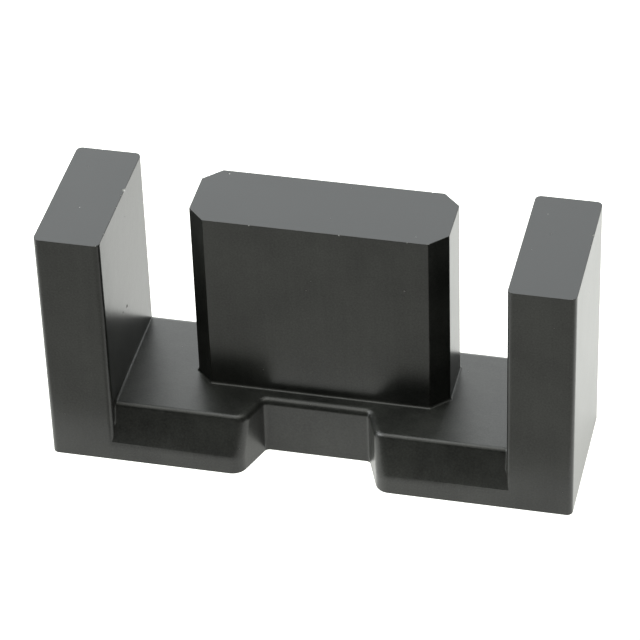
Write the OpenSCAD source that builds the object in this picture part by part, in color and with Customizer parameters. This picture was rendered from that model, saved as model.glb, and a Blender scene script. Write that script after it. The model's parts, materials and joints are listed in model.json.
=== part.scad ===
// Ferrite E core half of the flat design: a yoke with two outer legs and a wide, thin,
// eight-sided centre leg that lies close to the back face. It is one sintered piece, pressed
// along the legs, with only the three pole faces ground flat.
// Frame: X runs across the legs, Y from the notched front to the back, Z up the legs.
// The origin is the middle of the base.

/* [Overall] */
// Width across the two outer legs
core_w = 30; // [28:0.1:36]
// Thickness from the front face to the back face
core_t = 9.1; // [8.5:0.1:14]
// Height from the base to the pole faces
core_h = 15; // [6:0.1:40]

/* [Outer legs] */
// Clear width between the outer legs
window_w = 22.5; // [20:0.1:25]
// Radius along the four upright edges of each outer leg
leg_edge_r = 0.35; // [0.1:0.05:1]

/* [Centre leg] */
// Width of the centre leg
centre_w = 14.6; // [10:0.1:18]
// Thickness of the centre leg
centre_t = 4.9; // [3:0.1:5.4]
// Distance from the back face to the back of the centre leg
centre_inset = 0.75; // [0.75:0.05:1.2]
// Width taken off each corner of the centre leg by its flat
centre_flat = 1; // [0.3:0.1:2.2]

/* [Yoke] */
// Thickness of the yoke, from the base to the floor of the winding windows
yoke_h = 3.65; // [2:0.05:5]
// Height of the upright strip along the foot of the yoke's front
foot_h = 1.05; // [0.4:0.05:1.6]
// How far the sloping front above that strip leans back by the top of the yoke
front_lean = 0.65; // [0.2:0.05:1]
// Radius along the top front edge of the yoke and around the notch
front_edge_r = 0.3; // [0.1:0.05:0.5]
// Radius along the top back edge of the yoke
back_edge_r = 0.5; // [0.1:0.05:0.55]

/* [Lead notch] */
// Width of the flat back wall of the notch, between its rounded inner corners
notch_floor_w = 5.25; // [3:0.05:7]
// Depth of the notch from the front face
notch_depth = 2.5; // [1.5:0.1:2.8]
// Angle by which each side of the notch opens towards the front
notch_slant = 21.14; // [5:0.01:35]
// Radius in the two inner corners of the notch
notch_inner_r = 0.55; // [0.2:0.05:0.8]
// Radius on the two outer corners of the notch
notch_outer_r = 0.9; // [0.2:0.05:1.2]

/* [Roots] */
// Radius of the fillets where the legs rise from the yoke
root_r = 0.15; // [0.05:0.05:0.2]

/* [Hidden] */
$fn = 64;

front_y = -core_t / 2;
back_y = core_t / 2;
leg_w = (core_w - window_w) / 2;
leg_x = (core_w + window_w) / 4;
centre_y = back_y - centre_inset - centre_t / 2;
notch_y = front_y + notch_depth;
inner_x = notch_floor_w / 2;
inner_y = notch_y - notch_inner_r;
mouth_x = inner_x + (inner_y - front_y) * tan(notch_slant) + notch_inner_r / cos(notch_slant);
lean_angle = atan(front_lean / (yoke_h - foot_h));
// Cutting shapes run past the faces that they cut by this much
overcut = notch_inner_r / 2;

// Outward normals of the faces that meet at rounded edges, on the right of the notch
foot_out = [0, -1, 0];
slope_out = [0, -cos(lean_angle), sin(lean_angle)];
side_out = [-cos(notch_slant), -sin(notch_slant), 0];

function unit(v) = v / norm(v);

// What a rounded corner loses. The corner is at the origin, its faces look out at
// half_angle to either side of +X, and the radius touches both.
module corner_waste(r, half_angle) {
    reach = r * tan(half_angle);
    out = [cos(half_angle), sin(half_angle)];
    touch = reach * [-out.y, out.x];
    difference() {
        polygon([
            touch,
            touch + overcut * out,
            [overcut / out.x, 0],
            [touch.x + overcut * out.x, -touch.y - overcut * out.y],
            [touch.x, -touch.y]
        ]);
        translate([-r / out.x, 0]) circle(r);
    }
}

// What a rounded straight edge loses: the edge runs through the point at, between two
// faces with the outward normals face_a and face_b.
module edge_waste(at, face_a, face_b, r, length) {
    out = unit(face_a + face_b);
    along = unit(cross(face_a, face_b));
    side = cross(along, out);
    multmatrix([
        [out.x, side.x, along.x, at.x],
        [out.y, side.y, along.y, at.y],
        [out.z, side.z, along.z, at.z]
    ])
        linear_extrude(length, center = true)
            corner_waste(r, acos(face_a * face_b) / 2);
}

// The same shape on the right and on the left
module both_sides() {
    children();
    mirror([1, 0, 0]) children();
}

// Cross-section of a block with rounded upright edges
module rounded_block(width, depth, r) {
    square([width, depth - 2 * r], center = true);
    square([width - 2 * r, depth], center = true);
    for (x = [-1, 1], y = [-1, 1])
        translate([x * (width / 2 - r), y * (depth / 2 - r)]) circle(r);
}

// Side view of the yoke: upright foot, sloping front, rounded top edges
module yoke_profile() {
    slope_top = [front_y + front_lean, yoke_h];
    difference() {
        polygon([
            [front_y, 0],
            [back_y, 0],
            [back_y, yoke_h],
            slope_top,
            [front_y, foot_h]
        ]);
        translate(slope_top)
            rotate(135 - lean_angle / 2)
                corner_waste(front_edge_r, 45 - lean_angle / 2);
        translate([back_y, yoke_h])
            rotate(45)
                corner_waste(back_edge_r, 45);
    }
}

// Section through a wall of the notch, from inside_run in the open notch out to the wall
// and over the radius along its top edge. The wall stands notch_inner_r from the axis.
module wall_section(inside_run) {
    wide = notch_inner_r + front_edge_r;
    straight_h = yoke_h - front_edge_r;
    difference() {
        translate([-inside_run, -overcut])
            square([inside_run + wide, yoke_h + 2 * overcut]);
        translate([notch_inner_r, -2 * overcut])
            square([wide, straight_h + 2 * overcut]);
        translate([wide, straight_h]) circle(front_edge_r);
    }
}

// The open space of the notch: its back, its two round inner corners and its two sides
module notch_space() {
    side_run = notch_depth / cos(notch_slant);
    translate([-inner_x, inner_y, 0])
        rotate([90, 0, 90])
            linear_extrude(2 * inner_x) wall_section(notch_depth);
    both_sides()
        translate([inner_x, inner_y, 0]) {
            rotate(notch_slant) {
                rotate_extrude(angle = 90 - notch_slant) wall_section(0);
                rotate([90, 0, 0])
                    linear_extrude(side_run) wall_section(notch_depth * tan(notch_slant));
            }
        }
}

// What the radius takes off the upright outer corner of the notch, where the side meets
// the front face that looks out along front_out
module mouth_waste(front_out) {
    both_sides()
        edge_waste([mouth_x, front_y, foot_h], front_out, side_out, notch_outer_r, 2 * yoke_h);
}

// The corner radius leans back with the sloping front, so it is cut in two directions
module yoke() {
    color("dimgray")
        difference() {
            difference() {
                difference() {
                    rotate([90, 0, 90])
                        linear_extrude(2 * leg_x, center = true) yoke_profile();
                    notch_space();
                }
                mouth_waste(slope_out);
            }
            mouth_waste(foot_out);
        }
}

// The right outer leg, and the fillet where its inner face leaves the flat top of the yoke
module outer_leg() {
    front_gap = max(front_lean + front_edge_r, leg_edge_r);
    back_gap = max(back_edge_r, leg_edge_r);
    color("dimgray")
        translate([leg_x, 0, 0]) {
            linear_extrude(core_h) rounded_block(leg_w, core_t, leg_edge_r);
            translate([0, back_y - back_gap, 0])
                rotate([90, 0, 0])
                    linear_extrude(core_t - front_gap - back_gap)
                        difference() {
                            translate([-leg_w / 2 - root_r, yoke_h / 2])
                                square([leg_w / 2 + root_r, yoke_h / 2 + root_r]);
                            translate([-leg_w / 2 - root_r, yoke_h + root_r]) circle(root_r);
                        }
        }
}

// Side view of the centre leg: two upright walls, with a fillet where each leaves the yoke
module centre_wall(half_width) {
    difference() {
        union() {
            translate([-half_width, 0]) square([2 * half_width, core_h]);
            translate([-half_width - root_r, 0]) square([2 * (half_width + root_r), yoke_h + root_r]);
        }
        for (x = [-1, 1])
            translate([x * (half_width + root_r), yoke_h + root_r]) circle(root_r);
    }
}

// The centre leg is what four straight walls-and-fillets have in common
module centre_leg() {
    corner_half = (centre_w / 2 + centre_t / 2 - centre_flat) / sqrt(2);
    walls = [[0, centre_t / 2], [45, corner_half], [90, centre_w / 2], [135, corner_half]];
    color("dimgray")
        translate([0, centre_y, 0])
            intersection_for (wall = walls)
                rotate([90, 0, wall[0] + 90])
                    linear_extrude(2 * centre_w, center = true) centre_wall(wall[1]);
}

module core() {
    yoke();
    centre_leg();
    outer_leg();
    mirror([1, 0, 0]) outer_leg();
}

core();
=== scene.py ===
import json
import math

import bmesh
import bpy
from mathutils import Matrix, Vector

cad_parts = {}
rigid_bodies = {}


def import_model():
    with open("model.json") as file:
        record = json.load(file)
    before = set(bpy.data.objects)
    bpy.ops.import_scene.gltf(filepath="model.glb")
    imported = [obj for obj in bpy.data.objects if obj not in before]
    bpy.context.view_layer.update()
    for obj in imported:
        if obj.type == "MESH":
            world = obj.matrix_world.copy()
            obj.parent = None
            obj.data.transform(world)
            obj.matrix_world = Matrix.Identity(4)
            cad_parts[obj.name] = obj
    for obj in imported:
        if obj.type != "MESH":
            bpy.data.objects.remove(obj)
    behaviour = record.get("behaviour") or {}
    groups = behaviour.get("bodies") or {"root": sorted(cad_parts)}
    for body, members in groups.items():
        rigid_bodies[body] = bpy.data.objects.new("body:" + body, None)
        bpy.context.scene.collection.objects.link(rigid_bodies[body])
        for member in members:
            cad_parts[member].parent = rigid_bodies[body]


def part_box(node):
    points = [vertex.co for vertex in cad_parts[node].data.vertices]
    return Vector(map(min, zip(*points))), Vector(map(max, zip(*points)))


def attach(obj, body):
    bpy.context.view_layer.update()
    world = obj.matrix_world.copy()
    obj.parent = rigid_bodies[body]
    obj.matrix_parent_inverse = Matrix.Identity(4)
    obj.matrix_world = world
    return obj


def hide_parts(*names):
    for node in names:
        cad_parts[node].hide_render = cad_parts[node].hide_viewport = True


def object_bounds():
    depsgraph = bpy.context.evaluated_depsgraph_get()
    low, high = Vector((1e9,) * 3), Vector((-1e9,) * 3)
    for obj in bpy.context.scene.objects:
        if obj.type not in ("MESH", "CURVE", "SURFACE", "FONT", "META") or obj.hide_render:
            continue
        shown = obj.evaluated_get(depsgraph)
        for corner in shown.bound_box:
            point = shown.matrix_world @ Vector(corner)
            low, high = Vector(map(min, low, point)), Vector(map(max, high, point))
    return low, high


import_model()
cad_low, cad_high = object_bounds()

# ---- The core -----------------------------------------------------------------------------
# One half of a transformer core: ferrite powder is pressed in a die along the legs and fired to
# a hard, dark ceramic. Yoke, outer legs and centre leg are one piece. The die leaves a small
# radius on the upright edges and at the roots of the legs.
MM = 0.001
low, high = (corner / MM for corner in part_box("core"))      # the core is shaped in millimetres
LEG_WIDTH = 3.75
LEG_EDGE = 0.35
CENTRE_WIDTH = 14.6
CENTRE_THICKNESS = 4.9
CENTRE_INSET = 0.75         # from the back face to the back of the centre leg
CENTRE_FLAT = 1.0
FLAT_EDGE = 0.1
YOKE_HEIGHT = 3.65
FOOT_HEIGHT = 1.05          # the front stands upright to here, and leans back above
FOOT_BLEND = 1.6
FRONT_LEAN = 0.65
FRONT_EDGE = 0.3
BACK_EDGE = 0.5
NOTCH_FLOOR = 5.59          # the notch's width at its back, before the corners are rounded
NOTCH_DEPTH = 2.5
NOTCH_SLANT = math.radians(21.14)
NOTCH_INNER = 0.3
NOTCH_OUTER = 0.9
NOTCH_EDGE = 0.42
ROOT = 0.15
BASE_BREAK = 0.03
POLE_BREAK = 0.03
MID_BREAK = 0.3             # a break's middle step, as a share of the break
SINK = 0.05                 # how far a fillet reaches into the leg and the yoke that it joins
TUCK = 0.002                # a fillet starts this far under the yoke's skin
FLAT_ENOUGH = math.radians(0.3)
SAME_POINT = 0.002
OUTER_ARC = 9               # how many steps each radius takes
INNER_ARC = 7
LEG_ARC = 6
FLAT_ARC = 3


def steps(first, last, count):
    return [first + (last - first) * number / count for number in range(count + 1)]


def rounded(corners):
    """An outline through corners, each with its x, y, radius and how many steps its arc takes."""
    outline = []
    for number, (x, y, radius, count) in enumerate(corners):
        corner = Vector((x, y))
        if radius == 0:
            outline.append(corner)
            continue
        arriving = (corner - Vector(corners[number - 1][:2])).normalized()
        leaving = (Vector(corners[(number + 1) % len(corners)][:2]) - corner).normalized()
        half_turn = leaving.angle_signed(arriving) / 2
        start = corner - arriving * radius * abs(math.tan(half_turn))
        left = Vector((-arriving.y, arriving.x)) * math.copysign(radius, half_turn)
        for turn in steps(0, 2 * half_turn, count):
            outline.append(start + left - Matrix.Rotation(turn, 2) @ left)
    return outline


def skin(name, rings):
    """A closed solid through rings of as many points each."""
    form = bmesh.new()
    rows = [[form.verts.new(point) for point in ring] for ring in rings]
    form.faces.new(rows[0])
    form.faces.new(rows[-1])
    for below, above in zip(rows, rows[1:]):
        for number in range(len(below)):
            form.faces.new((below[number - 1], below[number], above[number], above[number - 1]))
    bmesh.ops.recalc_face_normals(form, faces=form.faces)
    mesh = bpy.data.meshes.new(name)
    form.to_mesh(mesh)
    form.free()
    return bpy.data.objects.new(name, mesh)


def level(outline, height):
    return [(point.x, point.y, height) for point in outline]


def drawn_in(height, top, radius):
    """How far a wall has drawn in at a height on the radius along its top edge."""
    rise = max(height - (top - radius), 0)
    return radius - math.sqrt(radius ** 2 - min(rise, radius) ** 2)


# The yoke: its outline at each height, with the front that leans back above the foot
lean = math.atan(FRONT_LEAN / (YOKE_HEIGHT - FOOT_HEIGHT))
blend_low = FOOT_HEIGHT - FOOT_BLEND * math.tan(lean / 2)
blend_high = blend_low + FOOT_BLEND * math.sin(lean)
round_y = low.y + FRONT_LEAN + FRONT_EDGE * math.cos(lean) / (1 + math.sin(lean))
round_z = YOKE_HEIGHT - FRONT_EDGE
yoke_end = high.x - LEG_WIDTH / 2
mouth_x = (NOTCH_FLOOR / 2 + (NOTCH_DEPTH - NOTCH_INNER) * math.tan(NOTCH_SLANT)
           + NOTCH_INNER / math.cos(NOTCH_SLANT))


def front_line(height):
    """Where the front stands at a height: foot, blend, slope, or the radius along the top."""
    if height <= blend_low:
        return low.y
    if height <= blend_high:
        return low.y + FOOT_BLEND - math.sqrt(FOOT_BLEND ** 2 - (height - blend_low) ** 2)
    if height <= round_z + FRONT_EDGE * math.sin(lean):
        return low.y + (height - FOOT_HEIGHT) * math.tan(lean)
    return round_y - math.sqrt(max(FRONT_EDGE ** 2 - (height - round_z) ** 2, 0))


def yoke_outline(height):
    shrink = drawn_in(BASE_BREAK - height, BASE_BREAK, BASE_BREAK)
    wall = drawn_in(height, YOKE_HEIGHT, NOTCH_EDGE) + shrink
    front = front_line(height) + shrink
    back = high.y - drawn_in(height, YOKE_HEIGHT, BACK_EDGE) - shrink
    floor = low.y + NOTCH_DEPTH + wall
    side = mouth_x + wall / math.cos(NOTCH_SLANT)
    outer = (side - (front - low.y) * math.tan(NOTCH_SLANT), front, NOTCH_OUTER - wall, OUTER_ARC)
    inner = (side - (floor - low.y) * math.tan(NOTCH_SLANT), floor, NOTCH_INNER + wall, INNER_ARC)
    return rounded([(-yoke_end, front, 0, 0), (-outer[0], *outer[1:]), (-inner[0], *inner[1:]),
                    inner, outer, (yoke_end, front, 0, 0), (yoke_end, back, 0, 0),
                    (-yoke_end, back, 0, 0)])


def heights_on_edge(radius, last, count):
    """Heights on the radius along the yoke's top edge, from its foot up to the turn last."""
    return [YOKE_HEIGHT - radius + radius * math.sin(turn) for turn in steps(0, last, count)]


heights = [0, MID_BREAK * BASE_BREAK, BASE_BREAK]
heights += [blend_low + FOOT_BLEND * math.sin(turn) for turn in steps(0, lean, 5)]
heights += heights_on_edge(BACK_EDGE, math.pi / 4, 3)
heights += heights_on_edge(NOTCH_EDGE, math.pi / 4, 4)
heights += heights_on_edge(FRONT_EDGE, math.pi / 2, 7)
yoke = skin("yoke", [level(yoke_outline(height), height) for height in sorted(heights)])

# The legs, which run from the base to the pole faces. Each pole face has a fine break around it.
pole_rings = [(high.z - POLE_BREAK, 0), (high.z - MID_BREAK * POLE_BREAK, MID_BREAK * POLE_BREAK),
              (high.z, POLE_BREAK)]
base_rings = [(0, BASE_BREAK), (MID_BREAK * BASE_BREAK, MID_BREAK * BASE_BREAK), (BASE_BREAK, 0)]


def leg(name, x, depth):
    rings = []
    for height, shrink in base_rings + pole_rings:
        half_x = LEG_WIDTH / 2 - shrink
        half_y = depth / 2 - shrink
        corners = [(x + side_x * half_x, side_y * half_y, LEG_EDGE - shrink, LEG_ARC)
                   for side_x, side_y in ((-1, -1), (1, -1), (1, 1), (-1, 1))]
        rings.append(level(rounded(corners), height))
    return skin(name, rings)


def centre_outline(grow):
    """The eight-sided centre leg, with all its sides moved out by grow."""
    half_x = CENTRE_WIDTH / 2 + grow
    half_y = CENTRE_THICKNESS / 2 + grow
    flat = CENTRE_FLAT + (2 - math.sqrt(2)) * grow
    quarter = [(half_x, -half_y + flat), (half_x, half_y - flat), (half_x - flat, half_y),
               (flat - half_x, half_y)]
    corners = quarter + [(-x, -y) for x, y in quarter]
    return rounded([(x, high.y - CENTRE_INSET - CENTRE_THICKNESS / 2 + y, FLAT_EDGE + grow, FLAT_ARC)
                    for x, y in corners])


rings = [level(centre_outline(ROOT), BASE_BREAK + ROOT)]
for turn in steps(0, math.pi / 2, 5):
    rings.append(level(centre_outline(ROOT * (1 - math.sin(turn))),
                       YOKE_HEIGHT - TUCK + ROOT * (1 - math.cos(turn))))
for height, shrink in pole_rings:
    rings.append(level(centre_outline(-shrink), height))
centre = skin("centre leg", rings)
leg_x = high.x - LEG_WIDTH / 2
legs = [leg("right leg", leg_x, high.y - low.y), leg("left leg", -leg_x, high.y - low.y)]

# The fillet along the foot of each outer leg's inner face. It follows the yoke over its rounded
# edges, and fades out where the leg's own edges begin to round.
SLOPE_START = 0.1           # it leaves the radius this far below the radius's middle
ROOT_LOW = 2.3              # and runs down the sloping front to this height
FADE_LOW = 2.2              # it would be gone at this height, and this far from the back face
FADE_BACK = 0.3
FADE_START = 0.35           # it begins to fade this far before
FADE_LEAST = 0.1            # the share of its radius that is always left


def root_fillet(name, side):
    inner_face = high.x - LEG_WIDTH
    path = []
    for turn in steps(math.pi / 4, 0, 4):
        path.append((high.y - BACK_EDGE * (1 - math.sin(turn)),
                     YOKE_HEIGHT - BACK_EDGE * (1 - math.cos(turn)), math.sin(turn), math.cos(turn)))
    for turn in steps(0, math.pi / 2 - lean, 5):
        path.append((round_y - FRONT_EDGE * math.sin(turn), round_z + FRONT_EDGE * math.cos(turn),
                     -math.sin(turn), math.cos(turn)))
    for height in steps(round_z - SLOPE_START, ROOT_LOW, 6):
        path.append((front_line(height), height, -math.cos(lean), math.sin(lean)))
    rings = []
    for y, z, out_y, out_z in path:
        room = min(high.y - FADE_BACK - y, z - FADE_LOW)
        size = ROOT * min(max(room / FADE_START, FADE_LEAST), 1)
        profile = [(size, -SINK)]
        profile += [(size * (1 - math.sin(turn)), size * (1 - math.cos(turn)))
                    for turn in steps(0, math.pi / 2, 5)]
        profile += [(-SINK, size), (-SINK, -SINK)]
        rings.append([(side * (inner_face - across), y + out_y * (up - TUCK), z + out_z * (up - TUCK))
                      for across, up in profile])
    return skin(name, rings)


parts = bpy.data.collections.new("parts of the core")
for part in legs + [centre, root_fillet("right root", 1), root_fillet("left root", -1)]:
    parts.objects.link(part)
bpy.context.scene.collection.objects.link(yoke)
joined = yoke.modifiers.new("pressed as one", "BOOLEAN")
joined.operation = "UNION"
joined.operand_type = "COLLECTION"
joined.collection = parts
joined.solver = "EXACT"
pressed = bpy.data.meshes.new_from_object(yoke.evaluated_get(bpy.context.evaluated_depsgraph_get()))
form = bmesh.new()
form.from_mesh(pressed)
bmesh.ops.dissolve_limit(form, angle_limit=FLAT_ENOUGH, verts=form.verts, edges=form.edges)
bmesh.ops.remove_doubles(form, verts=form.verts, dist=SAME_POINT)
for face in form.faces:
    face.smooth = True
form.to_mesh(pressed)
form.free()


# ---- Nicks and pits -----------------------------------------------------------------------
# Sintered ferrite is brittle. Grinding and handling leave tiny chips along the pole faces' rims
# and a few small pits in the skin, all cut out of the same piece.
class Wire:
    """A value in a tree of nodes. Arithmetic on wires adds Math nodes to the tree."""

    def __init__(self, tree, socket=None):
        self.tree = tree
        self.socket = socket

    def node(self, kind, settings=None, output=0, **inputs):
        """Adds a node, with its settings first. Its inputs go by the socket's name, with _ for a
        space, or by the socket's number, as i0 or i1."""
        made = self.tree.nodes.new(kind)
        for name, value in (settings or {}).items():
            if name == "stops":
                ramp = made.color_ramp
                for number, (place, grey) in enumerate(value):
                    stop = ramp.elements[number] if number < 2 else ramp.elements.new(place)
                    stop.position = place
                    stop.color = (grey, grey, grey, 1)
            else:
                setattr(made, name, value)
        for name, value in inputs.items():
            key = int(name[1:]) if name[1:].isdigit() else name.replace("_", " ")
            for one in value if isinstance(value, list) else [value]:
                if isinstance(one, Wire):
                    self.tree.links.new(one.socket, made.inputs[key])
                else:
                    made.inputs[key].default_value = one
        return Wire(self.tree, made.outputs[output] if made.outputs else None)

    def math(self, operation, *values):
        return self.node("ShaderNodeMath", {"operation": operation},
                         **{f"i{number}": value for number, value in enumerate(values)})

    def __add__(self, other):
        return self.math("ADD", self, other)

    def __sub__(self, other):
        return self.math("SUBTRACT", self, other)

    def __rsub__(self, other):
        return self.math("SUBTRACT", other, self)

    def __mul__(self, other):
        return self.math("MULTIPLY", self, other)

    def __gt__(self, other):
        return self.math("GREATER_THAN", self, other)

    __radd__ = __add__
    __rmul__ = __mul__


nicked = bpy.data.node_groups.new("nicks and pits", "GeometryNodeTree")
for name, kind in (("Core", "Geometry"), ("Chips", "Object"), ("Rim Height", "Float"),
                   ("Nick Spacing", "Float"), ("Nick Size", "Float"), ("Pit Density", "Float"),
                   ("Pit Size", "Float"), ("Crisp Angle", "Float"), ("Seed", "Int"), ("Skin", "Material"),
                   ("Ground", "Material"), ("Broken", "Material")):
    nicked.interface.new_socket(name, in_out="INPUT", socket_type=f"NodeSocket{kind}")
nicked.interface.new_socket("Core", in_out="OUTPUT", socket_type="NodeSocketGeometry")
wire = Wire(nicked)
given = nicked.nodes.new("NodeGroupInput")
want = {socket.name: Wire(nicked, socket) for socket in given.outputs}

# Points along the rims of the pole faces
RIM_ANGLE = 0.7             # radians: an edge that turns more than this is a rim
place = wire.node("GeometryNodeInputPosition")
up = wire.node("ShaderNodeSeparateXYZ", output=2, i0=place)
near_rim = up > want["Rim Height"]
sharp = wire.node("GeometryNodeInputMeshEdgeAngle") > RIM_ANGLE
rim = wire.node("GeometryNodeMeshToCurve", Mesh=want["Core"], Selection=near_rim * sharp)
rim_points = wire.node("GeometryNodeCurveToPoints", {"mode": "LENGTH"}, Curve=rim,
                       Length=want["Nick Spacing"])

# The stones that cut the nicks, the pits and the larger chips. Each is a ragged ball.
NICK_SPREAD = 0.03          # a nick's middle is up to this far off the rim
STONE_STRETCH = ((0.5,) * 3, (1.4,) * 3)
STONE_SIZE = (0.3, 1.0)
STONE_TURN = ((0,) * 3, (6.28,) * 3)
RAGGED_GRAIN = 9.0
RAGGED_DEPTH = 0.06


def chance(least, most, salt):
    if isinstance(least, tuple):
        return wire.node("FunctionNodeRandomValue", {"data_type": "FLOAT_VECTOR"}, i0=least, i1=most,
                         i8=want["Seed"] + salt)
    return wire.node("FunctionNodeRandomValue", {"data_type": "FLOAT"}, output=1, i2=least, i3=most,
                     i8=want["Seed"] + salt)


def stones(points, size, spread, salt):
    """A stone at each point, of its own size and turn, a little off the point."""
    stone = wire.node("GeometryNodeMeshIcoSphere", Radius=1.0, Subdivisions=2)
    moved = wire.node("GeometryNodeSetPosition", Geometry=points,
                      Offset=chance((-spread,) * 3, (spread,) * 3, salt))
    scale = wire.node("ShaderNodeVectorMath", {"operation": "SCALE"},
                      i0=chance(*STONE_STRETCH, salt + 1), i3=size * chance(*STONE_SIZE, salt + 2))
    return wire.node("GeometryNodeInstanceOnPoints", Points=moved, Instance=stone,
                     Rotation=chance(*STONE_TURN, salt + 3), Scale=scale)


pits = wire.node("GeometryNodeDistributePointsOnFaces", Mesh=want["Core"], Density=want["Pit Density"],
                 Seed=want["Seed"])
chips = wire.node("GeometryNodeObjectInfo", output=4, Object=want["Chips"])
chip_points = wire.node("GeometryNodeMeshToPoints", Mesh=chips)
chip_size = wire.node("GeometryNodeInputNamedAttribute", {"data_type": "FLOAT"}, Name="size")
cutters = wire.node("GeometryNodeJoinGeometry", Geometry=[
    stones(rim_points, want["Nick Size"], NICK_SPREAD, 1),
    stones(pits, want["Pit Size"], 0.0, 11),
    stones(chip_points, chip_size, 0.0, 21)])
cutters = wire.node("GeometryNodeRealizeInstances", Geometry=cutters)
ragged = wire.node("ShaderNodeTexNoise", output=1, Vector=place, Scale=RAGGED_GRAIN, Detail=1.0)
ragged = wire.node("ShaderNodeVectorMath", {"operation": "MULTIPLY_ADD"}, i0=ragged,
                   i1=(RAGGED_DEPTH,) * 3, i2=(-RAGGED_DEPTH / 2,) * 3)
cutters = wire.node("GeometryNodeSetPosition", Geometry=cutters, Offset=ragged)
cutters = wire.node("GeometryNodeSetMaterial", Geometry=cutters, Material=want["Broken"])
skinned = wire.node("GeometryNodeSetMaterial", Geometry=want["Core"], Material=want["Skin"])
cut = wire.node("GeometryNodeMeshBoolean", {"operation": "DIFFERENCE", "solver": "EXACT"},
                Mesh_1=skinned, Mesh_2=cutters)

# A pit that lies wholly under the skin would leave a bubble, so only the core itself is kept
CORE_FACES = 1000           # the core has more faces than this, and a bubble has fewer
island = wire.node("GeometryNodeInputMeshIsland")
island_faces = wire.node("GeometryNodeAccumulateField", {"data_type": "INT", "domain": "FACE"}, output=2,
                         i0=1, i1=island)
solid = wire.node("GeometryNodeDeleteGeometry", {"domain": "FACE"}, Geometry=cut,
                  Selection=(CORE_FACES - island_faces) > 0)

# Crisp edges stay crisp, and the faces that look straight up at the rims' height are ground
FACING_UP = 0.999
crisp = wire.node("GeometryNodeSetShadeSmooth", {"domain": "EDGE"}, Geometry=solid, Shade_Smooth=False,
                  Selection=wire.node("GeometryNodeInputMeshEdgeAngle") > want["Crisp Angle"])
whole = wire.node("GeometryNodeRealizeInstances", Geometry=crisp)
facing = wire.node("ShaderNodeSeparateXYZ", output=2, i0=wire.node("GeometryNodeInputNormal"))
ground = wire.node("GeometryNodeSetMaterial", Geometry=whole, Material=want["Ground"],
                   Selection=(facing > FACING_UP) * near_rim)
nicked.links.new(ground.socket, nicked.nodes.new("NodeGroupOutput").inputs[0])


# ---- The fired, ground and broken ferrite ---------------------------------------------------
# The fired skin is near black, with a satin gloss: a little rougher where the punches press it,
# smoother on the flanks, faintly drawn along the legs. The ground pole faces are greyer and
# flatter. A fresh break is greyer too, and its pale grainy specks are painted glints of its facets.
GRAIN = 9000.0              # noise scales, per metre
BROKEN_GRAIN = 14000.0
WAVE = 1100.0
CLOUD = 260.0
DRAWN = 2200.0
DRAWN_STRETCH = 0.06        # draw marks change this much more slowly along the legs
RELIEF = 0.01 * MM
BROKEN_RELIEF = 0.02 * MM
FIRED_IOR = 1.43
GROUND_IOR = 1.41


def new_material(name):
    material = bpy.data.materials.new(name)
    material.use_nodes = True
    tree = material.node_tree
    tree.nodes.clear()
    return material, Wire(tree)


def noise(wire, place, scale, detail, roughness=0.5):
    return wire.node("ShaderNodeTexNoise", Vector=place, Scale=scale, Detail=detail, Roughness=roughness)


def mixed(wire, amount, first, second, blend="MIX"):
    return wire.node("ShaderNodeMix", {"data_type": "RGBA", "blend_type": blend}, output=2,
                     i0=amount, i6=first, i7=second)


def eased(wire, value, first, last, top=1.0):
    """Rises smoothly from 0 where the value is first to top where it is last."""
    return wire.node("ShaderNodeMapRange", {"interpolation_type": "SMOOTHSTEP"}, i0=value,
                     i1=first, i2=last, i4=top)


def finish_surface(wire, colour, roughness, normal, ior):
    shader = wire.node("ShaderNodeBsdfPrincipled", Base_Color=colour, Roughness=roughness,
                       Normal=normal, IOR=ior)
    wire.node("ShaderNodeOutputMaterial", i0=shader)


def fired_skin():
    material, wire = new_material("fired skin")
    place = wire.node("ShaderNodeTexCoord", output="Object")
    grain = noise(wire, place, GRAIN, 3.0, 0.6)
    wave = noise(wire, place, WAVE, 3.0)
    cloud = noise(wire, place, CLOUD, 4.0)
    along = wire.node("ShaderNodeMapping", Vector=place, Scale=(1, 1, DRAWN_STRETCH))
    drawn = noise(wire, along, DRAWN, 3.0)
    dark = (0.0, 0.0002, 0.0, 1)
    pale = (0.0205, 0.0215, 0.0195, 1)
    mottle = 1.5 * cloud + 0.4 * drawn + 1.4 * grain - 1.15
    colour = mixed(wire, mottle, dark, pale)
    normal = wire.node("ShaderNodeTexCoord", output="Normal")
    upward = wire.node("ShaderNodeSeparateXYZ", output=2, i0=normal)
    sideways = wire.node("ShaderNodeSeparateXYZ", output=0, i0=normal)
    punched = eased(wire, upward, 0.5, 0.9)
    flank = eased(wire, sideways * sideways, 0.6, 0.95)
    roughness = 0.275 + 0.05 * cloud + 0.085 * punched - 0.015 * flank
    bump = wire.node("ShaderNodeBump", Strength=1.0, Distance=RELIEF,
                     Height=0.15 * grain + (0.9 - 0.4 * flank) * wave)
    finish_surface(wire, colour, roughness, bump, FIRED_IOR)
    return material


def ground_face():
    material, wire = new_material("ground face")
    place = wire.node("ShaderNodeTexCoord", output="Object")
    grain = noise(wire, place, GRAIN, 3.0, 0.6)
    cloud = noise(wire, place, CLOUD, 4.0)
    dark = (0.0045, 0.0055, 0.006, 1)
    pale = (0.012, 0.013, 0.0137, 1)
    colour = mixed(wire, cloud, dark, pale)
    roughness = 0.38 + 0.1 * cloud
    bump = wire.node("ShaderNodeBump", Strength=0.25, Distance=RELIEF, Height=grain)
    finish_surface(wire, colour, roughness, bump, GROUND_IOR)
    return material


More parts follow.
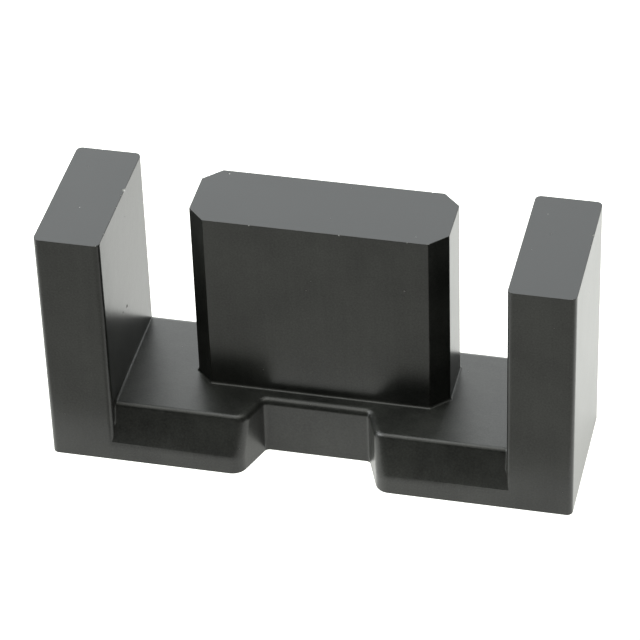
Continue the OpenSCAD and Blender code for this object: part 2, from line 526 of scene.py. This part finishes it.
def broken_face_with_painted_glint():
    material, wire = new_material("broken face with painted glint")
    place = wire.node("ShaderNodeTexCoord", output="Object")
    grain = noise(wire, place, BROKEN_GRAIN, 2.0)
    # The break is greyer than the skin, and its pale specks are painted glint: the sparkle of fresh
    # facets, laid into the colour
    dark = (0.08, 0.08, 0.08, 1)
    pale = (0.4, 0.4, 0.39, 1)
    colour = mixed(wire, grain, dark, pale)
    roughness = 0.5 + 0.2 * grain
    bump = wire.node("ShaderNodeBump", Strength=0.5, Distance=BROKEN_RELIEF, Height=grain)
    finish_surface(wire, colour, roughness, bump, FIRED_IOR)
    return material


# Where the larger chips and pits are, and their radius, all in millimetres
CHIPS = [(-13.9, 4.42, 15.0, 0.14), (-11.28, 0.9, 15.0, 0.1), (-11.3, 0.35, 15.0, 0.06),
         (5.6, 3.78, 15.0, 0.1), (-5.9, 3.5, 15.0, 0.07), (12.2, 2.9, 15.0, 0.07),
         (11.9, -0.5, 15.0, 0.05), (14.98, 1.4, 15.0, 0.09), (-11.25, 2.4, 12.86, 0.14),
         (-11.25, 0.6, 13.4, 0.16), (-11.25, -0.3, 7.8, 0.2), (-11.25, -1.1, 7.95, 0.12),
         (-11.15, 1.2, 3.72, 0.09), (-8.8, 1.8, 3.65, 0.06), (-14.98, -4.5, 10.9, 0.1),
         (7.32, -1.0, 11.4, 0.07)]
chip_places = bpy.data.meshes.new("chips")
chip_places.from_pydata([chip[:3] for chip in CHIPS], [], [])
chip_sizes = chip_places.attributes.new("size", "FLOAT", "POINT")
chip_sizes.data.foreach_set("value", [chip[3] for chip in CHIPS])
chip_marks = bpy.data.objects.new("chips", chip_places)

core = bpy.data.objects.new("ferrite_core", pressed)
bpy.context.scene.collection.objects.link(core)
wear = core.modifiers.new("wear", "NODES")
wear.node_group = nicked
settings = {"Chips": chip_marks, "Rim Height": high.z - 0.5 * POLE_BREAK, "Nick Spacing": 1.3,
            "Nick Size": 0.04, "Pit Density": 0.03, "Pit Size": 0.04, "Seed": 7,
            "Crisp Angle": math.radians(35), "Skin": fired_skin(), "Ground": ground_face(),
            "Broken": broken_face_with_painted_glint()}
for item in nicked.interface.items_tree:
    if item.name in settings:
        wear[item.identifier] = settings[item.name]
normals = core.modifiers.new("normals", "WEIGHTED_NORMAL")
normals.keep_sharp = True
finished = bpy.data.meshes.new_from_object(core.evaluated_get(bpy.context.evaluated_depsgraph_get()))
core.modifiers.clear()
core.data = finished
for part in [yoke, *parts.objects, chip_marks]:
    bpy.data.objects.remove(part)
bpy.data.collections.remove(parts)
finished.transform(Matrix.Scale(MM, 4))
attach(core, "root")
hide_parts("core")


# ---- The studio ---------------------------------------------------------------------------
# A white table that ends a little in front of the core, in a pale room that is dim in front and
# high at the right behind. One soft lamp stands at the upper left in front, and another hangs
# overhead to the right. The camera itself sees a plain white backdrop.
TABLE_LOW = Vector((-0.07, -0.0078, 0))
TABLE_HIGH = Vector((0.07, 0.07, 0))
TABLE_GLOW = 1.28
BACKDROP_GLOW = 1.1
ROOM_GLOW = 3.2
LAMP_GLOW = 10.0
LAMP = (-0.72, -0.25, 0.65)
OVERHEAD_GLOW = 3.5
TO_THE_BACK = (-0.4, 0.917, 0)
FRONT_LEVELS = [(0.15, 0.4), (0.25, 0.33), (0.38, 0.05), (0.5, 0.02), (0.8, 0.08), (0.9, 0.35),
                (1.0, 1.0)]
BACK_LEVELS = [(0.0, 0.55), (0.45, 0.55), (0.78, 1.3), (0.9, 0.8), (1.0, 1.0)]
SHADE = 0.88
TABLE_TINT = (0.99, 1, 0.95, 1)
FRONT_TINT = (0.99, 1, 0.93, 1)
BACK_TINT = (0.97, 1, 0.995, 1)
PAPER = (0.3, 0.3, 0.3, 1)
WHITE = (1, 1, 1, 1)
table = bpy.data.meshes.new("table")
table.from_pydata([TABLE_LOW, (TABLE_HIGH.x, TABLE_LOW.y, 0), TABLE_HIGH, (TABLE_LOW.x, TABLE_HIGH.y, 0)],
                  [], [(0, 1, 2, 3)])
floor = bpy.data.objects.new("floor", table)
bpy.context.scene.collection.objects.link(floor)
white, wire = new_material("white table")
glow = wire.node("ShaderNodeEmission", Color=TABLE_TINT, Strength=TABLE_GLOW)
paper = wire.node("ShaderNodeBsdfDiffuse", Color=PAPER)
both = wire.node("ShaderNodeAddShader", i0=glow, i1=paper)
wire.node("ShaderNodeOutputMaterial", i0=both)
table.materials.append(white)

world = bpy.data.worlds.new("room")
bpy.context.scene.world = world
world.use_nodes = True
world.node_tree.nodes.clear()
room = Wire(world.node_tree)
direction = room.node("ShaderNodeTexCoord", output="Generated")


def part_towards(there):
    """How much of the direction points there: 1 straight at it, 0 across, -1 away from it."""
    return room.node("ShaderNodeVectorMath", {"operation": "DOT_PRODUCT"}, output=1, i0=direction,
                     i1=there)


sideways = room.node("ShaderNodeSeparateXYZ", i0=direction, output=0)
upward = 0.5 * room.node("ShaderNodeSeparateXYZ", i0=direction, output=2) + 0.5
behind = eased(room, part_towards(TO_THE_BACK), -0.3, 0.3)
front_room = room.node("ShaderNodeValToRGB", {"stops": FRONT_LEVELS}, Fac=upward)
back_room = room.node("ShaderNodeValToRGB", {"stops": BACK_LEVELS}, Fac=upward)
right_side = eased(room, sideways, 0.02, 0.2)
raised = eased(room, upward, 0.62, 0.74)
unshaded = 1 - SHADE * right_side * raised
back_room = mixed(room, 1.0, back_room, unshaded, "MULTIPLY")
front_room = mixed(room, 1.0, front_room, FRONT_TINT, "MULTIPLY")
back_room = mixed(room, 1.0, back_room, BACK_TINT, "MULTIPLY")
walls = mixed(room, behind, front_room, back_room)
lamp = eased(room, part_towards(Vector(LAMP).normalized()), 0.92, 0.98, LAMP_GLOW)
overhead = eased(room, upward, 0.94, 0.98, OVERHEAD_GLOW) * eased(room, sideways, -0.2, -0.12)
light = room.node("ShaderNodeBackground", Color=walls, Strength=ROOM_GLOW + lamp + overhead)
backdrop = room.node("ShaderNodeBackground", Color=WHITE, Strength=BACKDROP_GLOW)
seen = room.node("ShaderNodeMixShader", i0=room.node("ShaderNodeLightPath"), i1=light, i2=backdrop)
room.node("ShaderNodeOutputWorld", i0=seen)

bpy.context.scene.view_settings.view_transform = "Standard"


# ---- The camera ---------------------------------------------------------------------------
# A long lens, a little to the right of the core's front and well above it. It stands close
# enough for the legs to draw together a little towards the table, and is rolled by two degrees.
AZIMUTH = math.radians(13.95)
ELEVATION = math.radians(37.44)
ROLL = math.radians(-2.06)
DISTANCE = 0.18967
AIM_OFFSET = (-0.193, 0.289, 0.4275)      # millimetres from the core's middle
aim = (cad_low + cad_high) / 2 + Vector(AIM_OFFSET) * MM
towards = Vector((math.sin(AZIMUTH) * math.cos(ELEVATION), -math.cos(AZIMUTH) * math.cos(ELEVATION),
                  math.sin(ELEVATION)))
lens = bpy.data.cameras.new("camera")
lens.sensor_width = 36
lens.lens = 190.5
lens.clip_start = 0.01
camera = bpy.data.objects.new("camera", lens)
turn = (-towards).to_track_quat("-Z", "Y").to_matrix() @ Matrix.Rotation(ROLL, 3, "Z")
camera.matrix_world = Matrix.Translation(aim + towards * DISTANCE) @ turn.to_4x4()
bpy.context.scene.collection.objects.link(camera)
bpy.context.scene.camera = camera
